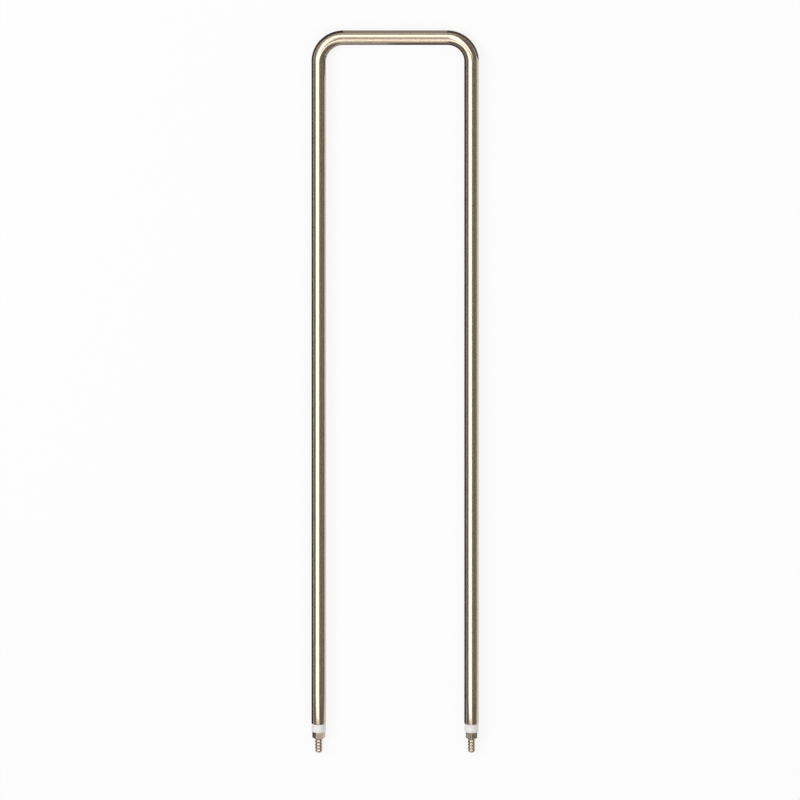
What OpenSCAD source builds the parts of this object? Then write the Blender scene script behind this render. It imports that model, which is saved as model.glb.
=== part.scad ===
// Tubular heating element bent to a U, in millimetres.
// It lies flat: the legs run along Y, the bend is at +Y and the terminals are at -Y.
// The origin is under the middle of the part, on the surface that it lies on.

/* [Sheath] */
// Outside diameter of the sheath
sheath_d = 10; // [9:0.5:13]
// Wall thickness of the sheath
sheath_wall = 0.8; // [0.6:0.1:1]
// Length of the bent sheath, from the outside of the bend to its open ends
sheath_length = 500; // [250:5:900]
// Distance between the centre lines of the two legs
leg_pitch = 105; // [70:1:200]
// Radius of the two bends, on the centre line
bend_r = 17; // [14:1:30]
// Chamfer round the outside of the sheath's open ends
sheath_chamfer = 0.3; // [0.1:0.1:0.5]

/* [Ceramic bead] */
// Height of the bead's head, which stands outside the sheath
bead_height = 6; // [4:0.5:12]
// How far the head's side stands in from the side of the sheath
bead_step = 0.2; // [0.2:0.05:0.5]
// Radius of the rounded edge at the head's outer end
bead_edge_r = 0.7; // [0.3:0.1:1]
// Length of the spigot that plugs the sheath
spigot_length = 3; // [2:0.5:5]
// Clearance round the spigot inside the sheath
spigot_gap = 0.15; // [0.05:0.05:0.25]
// Clearance round the stud inside the bead
stud_gap = 0.15; // [0.05:0.05:0.25]

/* [End seal] */
// Length of the seal behind the bead
seal_length = 6; // [4:0.5:10]

/* [Terminal pin] */
// Outside diameter of the threaded stud
stud_d = 5; // [4:0.5:5.5]
// Length of free stud past the nut
stud_projection = 10.3; // [8:0.1:20]
// Chamfer round the tip of the stud
stud_chamfer = 0.7; // [0.3:0.1:1]
// Depth below the thread's crests at which the stud and the nut meet, on the pitch line
thread_mesh = 0.26; // [0.2:0.02:0.4]
// Diameter of the plain shank inside the sheath
shank_d = 4.2; // [3.6:0.1:4.5]
// Distance from the sheath's open end to the inner end of the pin
cold_length = 50; // [40:1:100]

/* [Heating coil] */
// Diameter of the pin's inner end, which fills the end turns of the coil
coil_seat_d = 3; // [2.4:0.1:3.4]
// Length of the pin's inner end inside the coil
coil_seat_length = 12; // [8:1:20]
// Diameter of the resistance wire
wire_d = 0.5; // [0.3:0.05:0.7]

/* [Terminal nut] */
// Width of the nut across its flats
nut_across_flats = 7.8; // [7.5:0.1:9]
// Height of the nut
nut_height = 4.5; // [4:0.1:6]
// How far the outer face's round edge stands in from the flats
nut_face_inset = 0.2; // [0.1:0.05:0.4]
// Slope of the chamfer on the nut's outer corners, in degrees
nut_chamfer_angle = 30; // [15:1:40]
// Countersink at both ends of the nut's hole
nut_countersink = 0.4; // [0.1:0.1:0.5]
// Clearance between the stud and the nut on the pitch line
thread_gap = 0.05; // [0.02:0.01:0.1]
// Turn of the left nut about its stud, in degrees
left_nut_turn = -5; // [-30:1:30]
// Turn of the right nut about its stud, in degrees
right_nut_turn = 30; // [-30:1:30]

/* [Hidden] */
$fn = 96;
left = -1;
right = 1;

// Radii
sheath_r = sheath_d / 2;
bore_r = sheath_r - sheath_wall;
stud_r = stud_d / 2;
shank_r = shank_d / 2;
coil_seat_r = coil_seat_d / 2;
coil_r = coil_seat_r + wire_d;
bead_r = sheath_r - bead_step;
bead_hole_r = stud_r + stud_gap;
spigot_r = bore_r - spigot_gap;
pitch_line_r = stud_r - thread_mesh;
nut_hole_r = pitch_line_r + thread_gap;
nut_corner_r = nut_across_flats / 2 / cos(30);
nut_face_r = nut_across_flats / 2 - nut_face_inset;

// Heights in each terminal's own frame, where 0 is the sheath's open end and + is outwards
nut_base = bead_height;
nut_top = nut_base + nut_height;
stud_tip = nut_top + stud_projection;
seal_base = -spigot_length - seal_length;
pin_base = -cold_length;
coil_base = pin_base + coil_seat_length;

// Places in the part's frame
axis_z = sheath_r;
leg_x = leg_pitch / 2;
bar_half = leg_x - bend_r;
leg_end_y = (stud_tip - sheath_length) / 2;
bar_y = leg_end_y + sheath_length - sheath_r;
leg_top_y = bar_y - bend_r;

// How far a cutting shape passes the faces that it cuts
cut = 1;

// A 2D section swept round the U, starting at height `base` in each leg
module u_sweep(base = 0) {
    start_y = leg_end_y - base;
    for (side = [left, right])
        translate([side * leg_x, start_y, axis_z])
            rotate([-90, 0, 0])
                linear_extrude(leg_top_y - start_y) children();
    for (quarter = [0, 1])
        translate([(1 - 2 * quarter) * bar_half, leg_top_y, axis_z])
            rotate([0, 0, 90 * quarter])
                rotate_extrude(angle = 90) translate([bend_r, 0]) children();
    translate([-bar_half, bar_y, axis_z])
        rotate([0, 90, 0])
            linear_extrude(2 * bar_half) children();
}

// Moves a piece from its terminal's own frame to the end of the left or right leg
module at_leg(side) {
    translate([side * leg_x, leg_end_y, axis_z]) rotate([90, 0, 0]) children();
}

module ring(outer_r, inner_r) {
    difference() {
        circle(outer_r);
        circle(inner_r);
    }
}

// A cone that cuts a 45 degree chamfer of the given size from a shaft's end at height z
module shaft_chamfer(r, size, z) {
    translate([0, 0, z])
        rotate_extrude()
            polygon([[r - size - cut, cut], [r + cut, cut], [r + cut, -size - cut]]);
}

// A cone that countersinks a hole's mouth at height z, opening upwards or downwards
module hole_chamfer(r, size, z, way) {
    translate([0, 0, z])
        rotate_extrude()
            polygon([[0, -size * way], [r, -size * way], [r + size + cut, cut * way], [0, cut * way]]);
}

module sheath() {
    color([0.66, 0.62, 0.56])
        difference() {
            u_sweep() ring(sheath_r, bore_r);
            for (side = [left, right])
                at_leg(side) shaft_chamfer(sheath_r, sheath_chamfer, 0);
        }
}

// Pressed powder: it fills the sheath round the pins, round the coil and inside the coil
module magnesia_fill() {
    color([0.93, 0.92, 0.88])
        difference() {
            u_sweep(seal_base) circle(bore_r);
            heating_coil();
            for (side = [left, right]) terminal_pin(side);
        }
}

// The wound wire, as the tube-shaped space that its turns take up
module heating_coil() {
    color([0.45, 0.42, 0.40])
        u_sweep(coil_base) ring(coil_r, coil_seat_r);
}

// The cold pin, turned in one piece with its stud: the thread is a plain cylinder as wide as its
// crests, and as wide as its pitch line where the nut grips it
module terminal_pin(side) {
    color([0.58, 0.54, 0.48])
        at_leg(side)
            rotate_extrude()
                polygon([
                    [0, pin_base], [coil_seat_r, pin_base],
                    [coil_seat_r, coil_base], [shank_r, coil_base],
                    [shank_r, -spigot_length], [stud_r, -spigot_length],
                    [stud_r, nut_base], [pitch_line_r, nut_base],
                    [pitch_line_r, nut_top], [stud_r, nut_top],
                    [stud_r, stud_tip - stud_chamfer], [stud_r - stud_chamfer, stud_tip],
                    [0, stud_tip]
                ]);
}

module end_seal(side) {
    color([0.72, 0.30, 0.22])
        at_leg(side)
            translate([0, 0, seal_base])
                linear_extrude(seal_length) ring(bore_r, shank_r);
}

// The bead's half section: a head with one rounded edge, and the spigot under it
module bead_section() {
    difference() {
        union() {
            square([bead_r, bead_height - bead_edge_r]);
            square([bead_r - bead_edge_r, bead_height]);
            translate([bead_r - bead_edge_r, bead_height - bead_edge_r]) circle(bead_edge_r);
            translate([0, -spigot_length]) square([spigot_r, spigot_length + bead_edge_r]);
        }
        translate([-cut, -spigot_length - cut])
            square([bead_hole_r + cut, spigot_length + bead_height + 2 * cut]);
    }
}

module ceramic_bead(side) {
    color([0.93, 0.92, 0.90])
        at_leg(side) rotate_extrude() bead_section();
}

// A hexagon turned down by a cone at its outer corners, which leaves a round edge on the outer face
module nut_blank() {
    reach = nut_corner_r + cut;
    intersection() {
        linear_extrude(nut_height) circle(nut_corner_r, $fn = 6);
        rotate_extrude()
            polygon([
                [0, 0], [reach, 0],
                [reach, nut_height - (reach - nut_face_r) * tan(nut_chamfer_angle)],
                [nut_face_r, nut_height], [0, nut_height]
            ]);
    }
}

module terminal_nut(side, turn) {
    color([0.60, 0.56, 0.50])
        at_leg(side)
            translate([0, 0, nut_base])
                rotate([0, 0, turn])
                    difference() {
                        nut_blank();
                        translate([0, 0, -cut]) cylinder(r = nut_hole_r, h = nut_height + 2 * cut);
                        hole_chamfer(nut_hole_r, nut_countersink, nut_height, 1);
                        hole_chamfer(nut_hole_r, nut_countersink, 0, -1);
                    }
}

sheath();
magnesia_fill();
heating_coil();
terminal_pin(left);  // terminal_pin_left
terminal_pin(right);  // terminal_pin_right
end_seal(left);  // end_seal_left
end_seal(right);  // end_seal_right
ceramic_bead(left);  // ceramic_bead_left
ceramic_bead(right);  // ceramic_bead_right
terminal_nut(left, left_nut_turn);  // terminal_nut_left
terminal_nut(right, right_nut_turn);  // terminal_nut_right
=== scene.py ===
import math

import bmesh
import bpy
from mathutils import Matrix, Vector


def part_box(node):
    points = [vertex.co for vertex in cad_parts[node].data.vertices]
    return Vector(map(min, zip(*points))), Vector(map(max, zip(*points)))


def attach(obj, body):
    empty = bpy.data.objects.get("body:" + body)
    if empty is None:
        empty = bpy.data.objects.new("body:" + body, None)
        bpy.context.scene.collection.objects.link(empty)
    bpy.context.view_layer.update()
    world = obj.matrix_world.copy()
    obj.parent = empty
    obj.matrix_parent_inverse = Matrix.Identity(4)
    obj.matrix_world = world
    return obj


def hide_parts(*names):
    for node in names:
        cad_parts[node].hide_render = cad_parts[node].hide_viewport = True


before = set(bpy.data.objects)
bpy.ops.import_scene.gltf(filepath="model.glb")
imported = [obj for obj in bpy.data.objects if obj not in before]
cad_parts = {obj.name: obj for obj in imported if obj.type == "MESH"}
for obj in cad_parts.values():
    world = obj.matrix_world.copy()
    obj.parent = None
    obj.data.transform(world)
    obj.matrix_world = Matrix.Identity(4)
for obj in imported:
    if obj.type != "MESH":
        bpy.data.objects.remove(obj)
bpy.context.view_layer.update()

# Tubular heating element: its finishes, threads and wound coil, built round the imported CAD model.
# Lengths are in metres in the model's own frame: legs along Y, bends at +Y, terminals at -Y, floor at Z = 0.

mm = 0.001
white = (1, 1, 1, 1)

# What several pieces share. The places come from the boxes of the CAD nodes.
sheathLow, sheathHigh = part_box("sheath")
pinLow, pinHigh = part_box("terminal_pin_right")
tube = {
    "radius": 5 * mm,
    "wall": 0.8 * mm,
    "bendRadius": 17 * mm,  # on the centre line
}
axisZ = tube["radius"]
legX = sheathHigh[0] - tube["radius"]
legEndY = sheathLow[1]
barY = sheathHigh[1] - tube["radius"]
legTopY = barY - tube["bendRadius"]
barHalf = legX - tube["bendRadius"]

# Lengths along the centre line of the tube
legLength = legTopY - legEndY
bendLength = tube["bendRadius"] * math.pi / 2
barLength = 2 * barHalf
uLength = 2 * legLength + 2 * bendLength + barLength

view = {
    "tilt": 17.9,  # degrees off straight down, towards the bends
    "aim": (3.3 * mm, -6.3 * mm, 5 * mm),
    "distance": 1.6,
    "width": 0.5498,  # of the picture
}


def addCamera():
    data = bpy.data.cameras.new("camera")
    data.type = "ORTHO"
    data.ortho_scale = view["width"]
    data.clip_end = 20
    cam = bpy.data.objects.new("camera", data)
    tilt = math.radians(view["tilt"])
    back = Vector((0, math.sin(tilt), math.cos(tilt)))
    cam.location = Vector(view["aim"]) + back * view["distance"]
    cam.rotation_euler = (-tilt, 0, 0)
    bpy.context.collection.objects.link(cam)
    bpy.context.scene.camera = cam


addCamera()
bpy.context.scene.view_settings.view_transform = "Standard"
print("camera placed")


def startMaterial(name):
    mat = bpy.data.materials.new(name)
    mat.use_nodes = True
    mat.node_tree.nodes.clear()
    return mat, mat.node_tree


def addNode(tree, kind, inputs=None, **settings):
    # inputs gives each socket a plain value or another node's output
    node = tree.nodes.new(kind)
    for key, value in settings.items():
        setattr(node, key, value)
    for key, value in (inputs or {}).items():
        if isinstance(value, bpy.types.NodeSocket):
            tree.links.new(value, node.inputs[key])
        else:
            node.inputs[key].default_value = value
    return node


def maths(tree, operation, *values):
    return addNode(tree, "ShaderNodeMath", dict(enumerate(values)), operation=operation).outputs[0]


def backgroundRays(tree):
    # 1 for the rays that see a plain white surrounding, 0 for the rays that light the object
    path = addNode(tree, "ShaderNodeLightPath")
    some = maths(tree, "MAXIMUM", path.outputs["Is Camera Ray"], path.outputs["Is Glossy Ray"])
    return maths(tree, "MAXIMUM", some, path.outputs["Is Transmission Ray"])


def newObject(name, bm, material):
    mesh = bpy.data.meshes.new(name)
    bm.to_mesh(mesh)
    bm.free()
    mesh.materials.append(material)
    obj = bpy.data.objects.new(name, mesh)
    bpy.context.collection.objects.link(obj)
    return obj


def newPiece(name, bm, material, node, sharpAngle=40):
    # a finished piece that stands for a CAD node
    bmesh.ops.recalc_face_normals(bm, faces=bm.faces)
    obj = newObject(name, bm, material)
    obj.data.shade_smooth()
    obj.data.set_sharp_from_angle(angle=math.radians(sharpAngle))
    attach(obj, "root")
    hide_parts(node)
    return obj


studio = {
    "floorSize": 12,
    "floorColour": (0.9, 0.9, 0.9, 1),
    "floorWhite": 0.86,  # how much of the floor that the camera sees is plain white; the rest keeps the shadow
    "skyLight": 0.5,
    # Lamps for dull surfaces: the metal mirrors the panels further down instead
    "lamps": [
        {"name": "keyLamp", "place": (-1.3, 0.5, 1.6), "size": 1.2, "watts": 22},
        {"name": "fillLamp", "place": (1.2, -0.6, 1.8), "size": 1.6, "watts": 8},
    ],
}


def addFloor():
    mat, tree = startMaterial("floorWhite")
    lit = addNode(tree, "ShaderNodeBsdfDiffuse", {"Color": studio["floorColour"]})
    plain = addNode(tree, "ShaderNodeEmission", {"Color": white, "Strength": 1.0})
    share = maths(tree, "MULTIPLY", backgroundRays(tree), studio["floorWhite"])
    mix = addNode(tree, "ShaderNodeMixShader", {0: share, 1: lit.outputs[0], 2: plain.outputs[0]})
    addNode(tree, "ShaderNodeOutputMaterial", {"Surface": mix.outputs[0]})
    mat.cycles.emission_sampling = "NONE"
    bm = bmesh.new()
    bmesh.ops.create_grid(bm, x_segments=1, y_segments=1, size=studio["floorSize"] / 2)
    newObject("floor", bm, mat)


def addSky():
    world = bpy.data.worlds.new("sky")
    bpy.context.scene.world = world
    world.use_nodes = True
    tree = world.node_tree
    tree.nodes.clear()
    light = addNode(tree, "ShaderNodeBackground", {"Color": white, "Strength": studio["skyLight"]})
    plain = addNode(tree, "ShaderNodeBackground", {"Color": white, "Strength": 1.0})
    mix = addNode(tree, "ShaderNodeMixShader", {0: backgroundRays(tree), 1: light.outputs[0], 2: plain.outputs[0]})
    addNode(tree, "ShaderNodeOutputWorld", {"Surface": mix.outputs[0]})


def addLamp(name, place, size, watts):
    data = bpy.data.lights.new(name, "AREA")
    data.shape = "DISK"
    data.size = size
    data.energy = watts
    lamp = bpy.data.objects.new(name, data)
    lamp.location = place
    lamp.rotation_euler = (-Vector(place)).to_track_quat("-Z", "Y").to_euler()
    lamp.visible_glossy = False
    bpy.context.collection.objects.link(lamp)


addFloor()
addSky()
for lamp in studio["lamps"]:
    addLamp(**lamp)
print("floor, sky and lamps placed")

# What the metal mirrors: a dim shell with bright panels, and dark cards laid beside the tube
shell = {
    "radius": 40,
    "wallTone": 0.19,
    # The panels lie on a map of the sky, in degrees from straight up towards +X and +Y. half is half of a
    # panel's width and height, fade the share of that which is soft edge, and glow its brightness.
    "panels": [
        {"centre": (-34, 12), "half": (20, 42), "fade": 0.45, "glow": 2.6},
        {"centre": (-6, 46), "half": (40, 22), "fade": 0.5, "glow": 2.3},
        {"centre": (17, 19), "half": (15, 34), "fade": 0.3, "glow": 2.6},
        {"centre": (-18, -21), "half": (25, 13), "fade": 0.35, "glow": 2.6},
        {"centre": (3, -45), "half": (5, 26), "fade": 0.4, "glow": 1.5},
        {"centre": (-10, 5), "half": (20, 30), "fade": 0.9, "glow": 0.5},
        {"centre": (-35, 30), "half": (62, 75), "fade": 1.0, "glow": 1.2},
        {"centre": (0, 80), "half": (70, 70), "fade": 1.0, "glow": 0.5},
        {"centre": (74, -72), "half": (32, 30), "fade": 0.8, "glow": 1.2},
        {"centre": (-40, -92), "half": (45, 35), "fade": 1.0, "glow": 0.45},
        {"centre": (56, -20), "half": (10, 14), "fade": 1.0, "glow": 0.55},
    ],
}
cards = {
    "height": 0.1 * mm,  # just clear of the floor
    "list": [
        {"name": "leftOfLeftLeg", "low": (-0.110, -0.262), "high": (-0.0525, 0.238), "tone": 0.05},
        {"name": "leftOfRightLeg", "low": (-0.004, -0.262), "high": (0.0525, 0.222), "tone": 0.05},
        {"name": "outsideLeftBend", "low": (-0.110, 0.238), "high": (-0.036, 0.320), "tone": 0.06},
        {"name": "outsideRightBend", "low": (0.036, 0.238), "high": (0.110, 0.320), "tone": 0.10},
        {"name": "aboveBar", "low": (-0.036, 0.2554), "high": (0.036, 0.320), "tone": 0.35},
        {"name": "belowBar", "low": (-0.036, 0.222), "high": (0.0525, 0.2554), "tone": 0.02},
    ],
}


def skyMap(tree):
    # turns a direction into degrees from straight up, split towards +X and +Y
    coords = addNode(tree, "ShaderNodeTexCoord")
    way = addNode(tree, "ShaderNodeVectorMath", {0: coords.outputs["Object"]}, operation="NORMALIZE").outputs[0]
    height = addNode(tree, "ShaderNodeSeparateXYZ", {0: way}).outputs["Z"]
    angle = maths(tree, "ARCCOSINE", height)
    stretch = maths(tree, "DIVIDE", maths(tree, "DEGREES", angle), maths(tree, "SINE", angle))
    flat = addNode(tree, "ShaderNodeVectorMath", {0: way, 1: (1, 1, 0)}, operation="MULTIPLY").outputs[0]
    return addNode(tree, "ShaderNodeVectorMath", {0: flat, "Scale": stretch}, operation="SCALE").outputs[0]


def panelGlow(tree, place, centre, half, fade, glow):
    local = addNode(tree, "ShaderNodeMapping", {"Vector": place, "Location": (*centre, 0), "Scale": (*half, 1)},
                    vector_type="TEXTURE")
    size = addNode(tree, "ShaderNodeVectorMath", {0: local.outputs[0]}, operation="ABSOLUTE")
    parts = addNode(tree, "ShaderNodeSeparateXYZ", {0: size.outputs[0]})
    across, along = [
        addNode(tree, "ShaderNodeMapRange",
                {"Value": part, "From Min": 1.0, "From Max": 1.0 - fade, "To Min": 0.0, "To Max": 1.0},
                interpolation_type="SMOOTHSTEP").outputs[0]
        for part in parts.outputs[:2]
    ]
    return maths(tree, "MULTIPLY", maths(tree, "MULTIPLY", across, along), glow)


def addMirrored(name, bm, strength, tree, mat):
    # only reflections see it: it hides no lamp and throws no light or shadow
    light = addNode(tree, "ShaderNodeEmission", {"Color": white, "Strength": strength})
    addNode(tree, "ShaderNodeOutputMaterial", {"Surface": light.outputs[0]})
    mat.cycles.emission_sampling = "NONE"
    obj = newObject(name, bm, mat)
    obj.visible_camera = False
    obj.visible_diffuse = False
    obj.visible_transmission = False
    obj.visible_volume_scatter = False
    obj.visible_shadow = False


def addShell():
    mat, tree = startMaterial("studioPanels")
    place = skyMap(tree)
    total = shell["wallTone"]
    for panel in shell["panels"]:
        total = maths(tree, "MAXIMUM", panelGlow(tree, place, **panel), total)
    bm = bmesh.new()
    bmesh.ops.create_icosphere(bm, subdivisions=5, radius=shell["radius"])
    addMirrored("studioShell", bm, total, tree, mat)


def addCard(name, low, high, tone):
    mat, tree = startMaterial(name)
    middle = ((low[0] + high[0]) / 2, (low[1] + high[1]) / 2, cards["height"])
    fit = Matrix.Translation(middle) @ Matrix.Diagonal((high[0] - low[0], high[1] - low[1], 1, 1))
    bm = bmesh.new()
    bmesh.ops.create_grid(bm, x_segments=1, y_segments=1, size=0.5, matrix=fit)
    addMirrored(name, bm, tone, tree, mat)


addShell()
for card in cards["list"]:
    addCard(**card)
print("mirrored shell and cards placed")


def bendRoundU(bm):
    # A straight tube runs along X from 0 to uLength, with Y outwards and Z up. Each vertex keeps its straight
    # place in an attribute, so that a pattern can follow the bends.
    straight = bm.verts.layers.float_vector.new("straight")
    for vert in bm.verts:
        vert[straight] = vert.co
        along, out, up = vert.co
        past = along - legLength  # past the left leg
        if past < 0:
            middle, way = Vector((-legX, legEndY + along, 0)), Vector((-1, 0, 0))
        elif past < bendLength:
            turn = past / tube["bendRadius"]
            way = Vector((-math.cos(turn), math.sin(turn), 0))
            middle = Vector((-barHalf, legTopY, 0)) + way * tube["bendRadius"]
        elif past < bendLength + barLength:
            middle, way = Vector((past - bendLength - barHalf, barY, 0)), Vector((0, 1, 0))
        elif past < 2 * bendLength + barLength:
            turn = (past - bendLength - barLength) / tube["bendRadius"]
            way = Vector((math.sin(turn), math.cos(turn), 0))
            middle = Vector((barHalf, legTopY, 0)) + way * tube["bendRadius"]
        else:
            middle, way = Vector((legX, legEndY + uLength - along, 0)), Vector((1, 0, 0))
        vert.co = middle + way * out + Vector((0, 0, axisZ + up))


def ringMarks():
    # where the tube has a ring: close together in the bends, further apart on the straights
    marks = [0.0]
    for length, count in ((legLength, 24), (bendLength, 24), (barLength, 4), (bendLength, 24), (legLength, 24)):
        start = marks[-1]
        marks += [start + length * (i + 1) / count for i in range(count)]
    return marks


def pullEdges(bm, edges):
    # extrudes an open loop of edges, and gives the new vertices, which still lie on the old ones, and edges
    made = bmesh.ops.extrude_edge_only(bm, edges=edges)["geom"]
    verts = {g for g in made if isinstance(g, bmesh.types.BMVert)}
    return verts, [g for g in made if isinstance(g, bmesh.types.BMEdge) and verts.issuperset(g.verts)]


sheath = {
    "segments": 72,
    "outerRound": 0.3 * mm,  # on the outer edge of each open end
    "innerRound": 0.1 * mm,
    "colour": (0.64, 0.53, 0.41, 1),
    "grainColour": (0.56, 0.46, 0.35, 1),
    "roughness": (0.15, 0.23),
    "grainSize": 0.55 * mm,
    "grainStretch": 3.0,  # how much longer than wide a grain is
    "grainDepth": 0.02 * mm,
}


def drawnTube():
    mat, tree = startMaterial("drawnTube")
    place = addNode(tree, "ShaderNodeAttribute", attribute_name="straight").outputs["Vector"]
    across = 1 / sheath["grainSize"]
    fine = addNode(tree, "ShaderNodeMapping",
                   {"Vector": place, "Scale": (across / sheath["grainStretch"], across, across)})
    grain = addNode(tree, "ShaderNodeTexNoise",
                    {"Vector": fine.outputs[0], "Scale": 1.0, "Detail": 3.0, "Roughness": 0.6}).outputs[0]
    broad = addNode(tree, "ShaderNodeMapping", {"Vector": place, "Scale": (14, 120, 120)})
    patches = addNode(tree, "ShaderNodeTexNoise", {"Vector": broad.outputs[0], "Scale": 1.0, "Detail": 2.0}).outputs[0]
    both = addNode(tree, "ShaderNodeMix", {0: 0.25, 2: grain, 3: patches}).outputs[0]
    tone = addNode(tree, "ShaderNodeMapRange", {"Value": both, "From Min": 0.3, "From Max": 0.7}).outputs[0]
    colour = addNode(tree, "ShaderNodeMix", {0: tone, 6: sheath["grainColour"], 7: sheath["colour"]},
                     data_type="RGBA").outputs[2]
    low, high = sheath["roughness"]
    dull = addNode(tree, "ShaderNodeMapRange", {"Value": tone, "To Min": high, "To Max": low}).outputs[0]
    bump = addNode(tree, "ShaderNodeBump", {"Height": grain, "Strength": 0.5, "Distance": sheath["grainDepth"]})
    metal = addNode(tree, "ShaderNodeBsdfPrincipled",
                    {"Base Color": colour, "Metallic": 1.0, "Roughness": dull, "Normal": bump.outputs[0]})
    addNode(tree, "ShaderNodeOutputMaterial", {"Surface": metal.outputs[0]})
    return mat


def buildSheath():
    # One ring is pulled along the outside, in at the far end, back along the bore, and out again to where it began.
    # A bridge between the two rings of an open end would cross over, because they share a middle.
    bm = bmesh.new()
    ring = bmesh.ops.create_circle(bm, segments=sheath["segments"], radius=tube["radius"],
                                   matrix=Matrix.Rotation(math.pi / 2, 4, "Y"))["verts"]
    edges = list({e for v in ring for e in v.link_edges})
    bore = tube["radius"] - tube["wall"]
    marks = ringMarks()
    outside, inside = [(mark, tube["radius"]) for mark in marks], [(mark, bore) for mark in marks]
    for mark, radius in outside[1:] + inside[::-1] + outside[:1]:
        verts, edges = pullEdges(bm, edges)
        for vert in verts:
            vert.co = (mark, *(vert.co.yz * radius / vert.co.yz.length))
    bmesh.ops.remove_doubles(bm, verts=bm.verts, dist=0.001 * mm)
    for radius, size in ((tube["radius"], sheath["outerRound"]), (bore, sheath["innerRound"])):
        rims = [e for e in bm.edges if all(min(abs(v.co.x - marks[0]), abs(v.co.x - marks[-1])) < 0.001 * mm
                                           and abs(v.co.yz.length - radius) < 0.001 * mm for v in e.verts)]
        bmesh.ops.bevel(bm, geom=rims, offset=size, segments=3, profile=0.5, affect="EDGES", material=-1,
                        offset_type="OFFSET")
    bmesh.ops.recalc_face_normals(bm, faces=bm.faces)
    bendRoundU(bm)
    newPiece("sheathTube", bm, drawnTube(), "sheath")


buildSheath()
print("sheath built")

# Heights in a terminal's own frame, whose Z points out of the leg from the sheath's open end
beadInner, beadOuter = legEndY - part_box("ceramic_bead_right")[1][1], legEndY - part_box("ceramic_bead_right")[0][1]
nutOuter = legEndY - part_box("terminal_nut_right")[0][1]
pinInner, pinTip = legEndY - pinHigh[1], legEndY - pinLow[1]
sides = {"left": -1, "right": 1}
thread = {
    "radius": (pinHigh[0] - pinLow[0]) / 2,  # over the crests
    "pitch": 2.24 * mm,
    "depth": 0.3 * mm,
    "steps": 36,  # in a turn
    "play": 0.03 * mm,  # between the nut's thread and the stud's
}


def terminalPlace(side):
    return Matrix.Translation((sides[side] * legX, legEndY, axisZ)) @ Matrix.Rotation(math.pi / 2, 4, "X")


def screwSurface(bm, low, high, play, limit):
    # One pitch of the thread's outline is spun up as a screw from low to high. limit(height, radius) gives
    # the radius that is left, for chamfers and for where the thread runs out.
    pitch = thread["pitch"]
    crest = thread["radius"] + play
    root = crest - thread["depth"]
    outline = ((0, root), (0.125, root), (0.4375, crest), (0.5625, crest), (0.875, root), (1, root))
    base = (math.floor(low / pitch) - 1) * pitch
    verts = [bm.verts.new((radius, 0, base + share * pitch)) for share, radius in outline]
    edges = [bm.edges.new(pair) for pair in zip(verts, verts[1:])]
    turns = math.ceil((high - base) / pitch) + 1
    bmesh.ops.spin(bm, geom=verts + edges, cent=(0, 0, 0), axis=(0, 0, 1), angle=turns * 2 * math.pi,
                   dvec=(0, 0, pitch / thread["steps"]), steps=turns * thread["steps"])
    bmesh.ops.remove_doubles(bm, verts=bm.verts, dist=0.001 * mm)
    for vert in bm.verts:
        radius = vert.co.xy.length
        vert.co.xy *= limit(vert.co.z, radius) / radius
    loops = []
    for height, way in ((low, -1), (high, 1)):
        cut = bmesh.ops.bisect_plane(bm, geom=bm.verts[:] + bm.edges[:] + bm.faces[:], dist=0.0001 * mm,
                                     plane_co=(0, 0, height), plane_no=(0, 0, way), clear_outer=True)["geom_cut"]
        loops.append([g for g in cut if isinstance(g, bmesh.types.BMEdge)])
    return loops


pin = {
    "tipChamfer": 0.7 * mm,
    "runOut": 1.5 * mm,  # length over which the thread fades, inside the bead
    "shankRadius": 2.1 * mm,
    "seatRadius": 1.5 * mm,  # inside the coil
    "seatLength": 12 * mm,
    "colour": (0.60, 0.50, 0.39, 1),
    "wornColour": (0.50, 0.41, 0.31, 1),
    "roughness": (0.2, 0.32),
}


def platedSteel(name, colours, roughness, scale):
    # plating with fine handling marks and a slightly uneven shine
    mat, tree = startMaterial(name)
    place = addNode(tree, "ShaderNodeTexCoord").outputs["Object"]
    marks = addNode(tree, "ShaderNodeTexNoise",
                    {"Vector": place, "Scale": scale, "Detail": 4.0, "Roughness": 0.65}).outputs[0]
    tone = addNode(tree, "ShaderNodeMapRange", {"Value": marks, "From Min": 0.35, "From Max": 0.65}).outputs[0]
    colour = addNode(tree, "ShaderNodeMix", {0: tone, 6: colours[0], 7: colours[1]}, data_type="RGBA").outputs[2]
    dull = addNode(tree, "ShaderNodeMapRange",
                   {"Value": tone, "To Min": roughness[1], "To Max": roughness[0]}).outputs[0]
    bump = addNode(tree, "ShaderNodeBump", {"Height": marks, "Strength": 0.3, "Distance": 0.01 * mm})
    metal = addNode(tree, "ShaderNodeBsdfPrincipled",
                    {"Base Color": colour, "Metallic": 1.0, "Roughness": dull, "Normal": bump.outputs[0]})
    addNode(tree, "ShaderNodeOutputMaterial", {"Surface": metal.outputs[0]})
    return mat


def buildPin(side, material):
    chamferStart = pinTip - pin["tipChamfer"]
    threadStart = beadOuter - pin["runOut"]

    def limit(height, radius):
        shown = min(max((height - threadStart) / pin["runOut"], 0), 1)
        faded = thread["radius"] - (thread["radius"] - radius) * shown
        return max(min(faded, thread["radius"] + chamferStart - height), 0.1 * thread["radius"])

    bm = bmesh.new()
    inner, tip = screwSurface(bm, beadInner, pinTip, 0, limit)
    bmesh.ops.edgeloop_fill(bm, edges=tip)
    profile = (
        (pin["shankRadius"], beadInner),
        (pin["shankRadius"], pinInner + pin["seatLength"]),
        (pin["seatRadius"], pinInner + pin["seatLength"]),
        (pin["seatRadius"], pinInner),
    )
    for radius, height in profile:
        verts, inner = pullEdges(bm, inner)
        for vert in verts:
            vert.co.xy *= radius / vert.co.xy.length
            vert.co.z = height
    bmesh.ops.edgeloop_fill(bm, edges=inner)
    bm.transform(terminalPlace(side))
    newPiece("threadedPin_" + side, bm, material, "terminal_pin_" + side)


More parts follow.
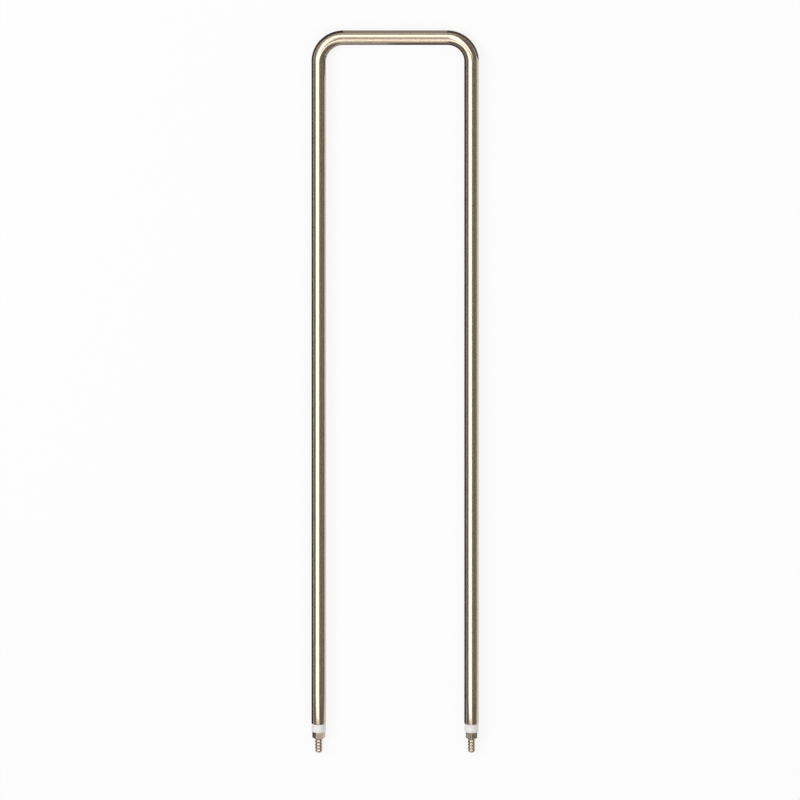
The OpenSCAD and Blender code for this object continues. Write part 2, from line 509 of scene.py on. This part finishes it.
pinSteel = platedSteel("pinSteel", (pin["wornColour"], pin["colour"]), pin["roughness"], 1500)
for side in sides:
    buildPin(side, pinSteel)
print("threaded pins built")

nut = {
    "acrossFlats": 7.8 * mm,
    "faceInset": 0.2 * mm,  # from the flats to the round edge of the outer face
    "chamfer": math.radians(30),
    "countersink": 0.35 * mm,
    "edgeRound": 0.08 * mm,
    "turn": {"left": 25, "right": 0},  # degrees from a corner pointing up
    "colour": (0.57, 0.48, 0.375, 1),
    "wornColour": (0.48, 0.40, 0.31, 1),
    "roughness": (0.24, 0.36),
    "sideSteps": 10,  # along a flat, so that the chamfer's curve on it is round
}


def buildNut(side, material):
    top, bottom = nutOuter, beadOuter
    mouth = thread["radius"] + thread["play"] + 0.1 * mm

    def limit(height, radius):
        return max(radius, mouth - min(height - bottom, top - height))

    bm = bmesh.new()
    lowBore, highBore = screwSurface(bm, bottom, top, thread["play"], limit)
    turn = Matrix.Rotation(math.radians(nut["turn"][side]), 4, "Z") @ Matrix.Translation((0, 0, bottom))
    ring = bmesh.ops.create_circle(bm, segments=6, radius=nut["acrossFlats"] / 2 / math.cos(math.pi / 6),
                                   matrix=turn)["verts"]
    hexagon = list({e for v in ring for e in v.link_edges})
    split = bmesh.ops.subdivide_edges(bm, edges=hexagon, cuts=nut["sideSteps"] - 1)["geom"]
    outline = list({g for g in split if isinstance(g, bmesh.types.BMEdge)})
    faceRadius = nut["acrossFlats"] / 2 - nut["faceInset"]
    verts, edges = pullEdges(bm, outline)
    for vert in verts:
        vert.co.z = top - (vert.co.xy.length - faceRadius) * math.tan(nut["chamfer"])
    verts, edges = pullEdges(bm, edges)
    for vert in verts:
        vert.co.xy *= faceRadius / vert.co.xy.length
        vert.co.z = top
    bmesh.ops.triangle_fill(bm, edges=edges + highBore, use_beauty=True)
    bmesh.ops.triangle_fill(bm, edges=outline + lowBore, use_beauty=True)
    bmesh.ops.recalc_face_normals(bm, faces=bm.faces)
    outside = faceRadius - 0.01 * mm
    sharp = [e for e in bm.edges if e.calc_face_angle(0) > math.radians(20)
             and all(v.co.xy.length > outside for v in e.verts)]
    bmesh.ops.bevel(bm, geom=sharp, offset=nut["edgeRound"], segments=2, profile=0.5, affect="EDGES", material=-1)
    bm.transform(terminalPlace(side))
    obj = newPiece("hexNut_" + side, bm, material, "terminal_nut_" + side)
    obj.modifiers.new("flatFaces", "WEIGHTED_NORMAL").keep_sharp = True


nutSteel = platedSteel("nutSteel", (nut["wornColour"], nut["colour"]), nut["roughness"], 900)
for side in sides:
    buildNut(side, nutSteel)
print("nuts built")

coil = {
    "radius": 1.75 * mm,  # to the middle of the wire
    "wireRadius": 0.25 * mm,
    "spunTurns": 5,
    "doublings": 7,  # so 640 turns in all
    "steps": 10,  # in a turn
    "segments": 6,  # round the wire
    "colour": (0.30, 0.27, 0.25, 1),
    "scaleColour": (0.16, 0.16, 0.15, 1),
}


def oxidisedWire():
    mat, tree = startMaterial("oxidisedWire")
    place = addNode(tree, "ShaderNodeAttribute", attribute_name="straight").outputs["Vector"]
    spots = addNode(tree, "ShaderNodeTexNoise", {"Vector": place, "Scale": 700, "Detail": 3.0}).outputs[0]
    tone = addNode(tree, "ShaderNodeMapRange", {"Value": spots, "From Min": 0.4, "From Max": 0.6}).outputs[0]
    colour = addNode(tree, "ShaderNodeMix", {0: tone, 6: coil["scaleColour"], 7: coil["colour"]},
                     data_type="RGBA").outputs[2]
    dull = addNode(tree, "ShaderNodeMapRange", {"Value": tone, "To Min": 0.6, "To Max": 0.35}).outputs[0]
    bump = addNode(tree, "ShaderNodeBump", {"Height": spots, "Strength": 0.4, "Distance": 0.01 * mm})
    metal = addNode(tree, "ShaderNodeBsdfPrincipled",
                    {"Base Color": colour, "Metallic": 0.9, "Roughness": dull, "Normal": bump.outputs[0]})
    addNode(tree, "ShaderNodeOutputMaterial", {"Surface": metal.outputs[0]})
    return mat


def buildCoil():
    # a few turns are spun, and then doubled until they fill the length
    start = -pinInner - pin["seatLength"] + coil["wireRadius"]
    length = uLength - 2 * start
    turns = coil["spunTurns"] * 2 ** coil["doublings"]
    bm = bmesh.new()
    ring = bmesh.ops.create_circle(bm, segments=coil["segments"], radius=coil["wireRadius"],
                                   matrix=Matrix.Translation((start, coil["radius"], 0)))["verts"]
    edges = list({e for v in ring for e in v.link_edges})
    bmesh.ops.spin(bm, geom=ring + edges, cent=(0, 0, 0), axis=(1, 0, 0), angle=coil["spunTurns"] * 2 * math.pi,
                   dvec=(length / turns / coil["steps"], 0, 0), steps=coil["spunTurns"] * coil["steps"])
    reach = length * coil["spunTurns"] / turns
    for _ in range(coil["doublings"]):
        copied = bmesh.ops.duplicate(bm, geom=bm.verts[:] + bm.edges[:] + bm.faces[:])["geom"]
        bmesh.ops.translate(bm, verts=[g for g in copied if isinstance(g, bmesh.types.BMVert)], vec=(reach, 0, 0))
        reach *= 2
    bmesh.ops.remove_doubles(bm, verts=bm.verts, dist=0.001 * mm)
    bmesh.ops.holes_fill(bm, edges=[e for e in bm.edges if e.is_boundary])
    bendRoundU(bm)
    newPiece("resistanceCoil", bm, oxidisedWire(), "heating_coil", sharpAngle=70)


buildCoil()
print("coil wound")

# The CAD's own beads, seals and filling keep their shapes and get these finishes
finishes = {
    "ceramic_bead": {
        "name": "firedSteatite", "colour": (0.86, 0.845, 0.82, 1), "speckColour": (0.78, 0.76, 0.73, 1),
        "roughness": (0.38, 0.5), "scale": 900, "bump": 0.006 * mm,
    },
    "end_seal": {
        "name": "siliconeSeal", "colour": (0.48, 0.10, 0.06, 1), "speckColour": (0.38, 0.08, 0.05, 1),
        "roughness": (0.5, 0.65), "scale": 1200, "bump": 0.01 * mm,
    },
    "magnesia_fill": {
        "name": "pressedPowder", "colour": (0.87, 0.86, 0.82, 1), "speckColour": (0.74, 0.72, 0.68, 1),
        "roughness": (0.85, 0.95), "scale": 2500, "bump": 0.03 * mm,
    },
}


def speckled(name, colour, speckColour, roughness, scale, bump):
    mat, tree = startMaterial(name)
    place = addNode(tree, "ShaderNodeTexCoord").outputs["Object"]
    specks = addNode(tree, "ShaderNodeTexNoise", {"Vector": place, "Scale": scale, "Detail": 4.0}).outputs[0]
    tone = addNode(tree, "ShaderNodeMapRange", {"Value": specks, "From Min": 0.35, "From Max": 0.55}).outputs[0]
    mixed = addNode(tree, "ShaderNodeMix", {0: tone, 6: speckColour, 7: colour}, data_type="RGBA").outputs[2]
    dull = addNode(tree, "ShaderNodeMapRange",
                   {"Value": tone, "To Min": roughness[1], "To Max": roughness[0]}).outputs[0]
    relief = addNode(tree, "ShaderNodeBump", {"Height": specks, "Strength": 0.4, "Distance": bump})
    body = addNode(tree, "ShaderNodeBsdfPrincipled",
                   {"Base Color": mixed, "Roughness": dull, "Normal": relief.outputs[0]})
    addNode(tree, "ShaderNodeOutputMaterial", {"Surface": body.outputs[0]})
    return mat


for start, finish in finishes.items():
    material = speckled(**finish)
    for name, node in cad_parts.items():
        if name.startswith(start):
            node.material_slots[0].material = material
print("beads, seals and filling finished")
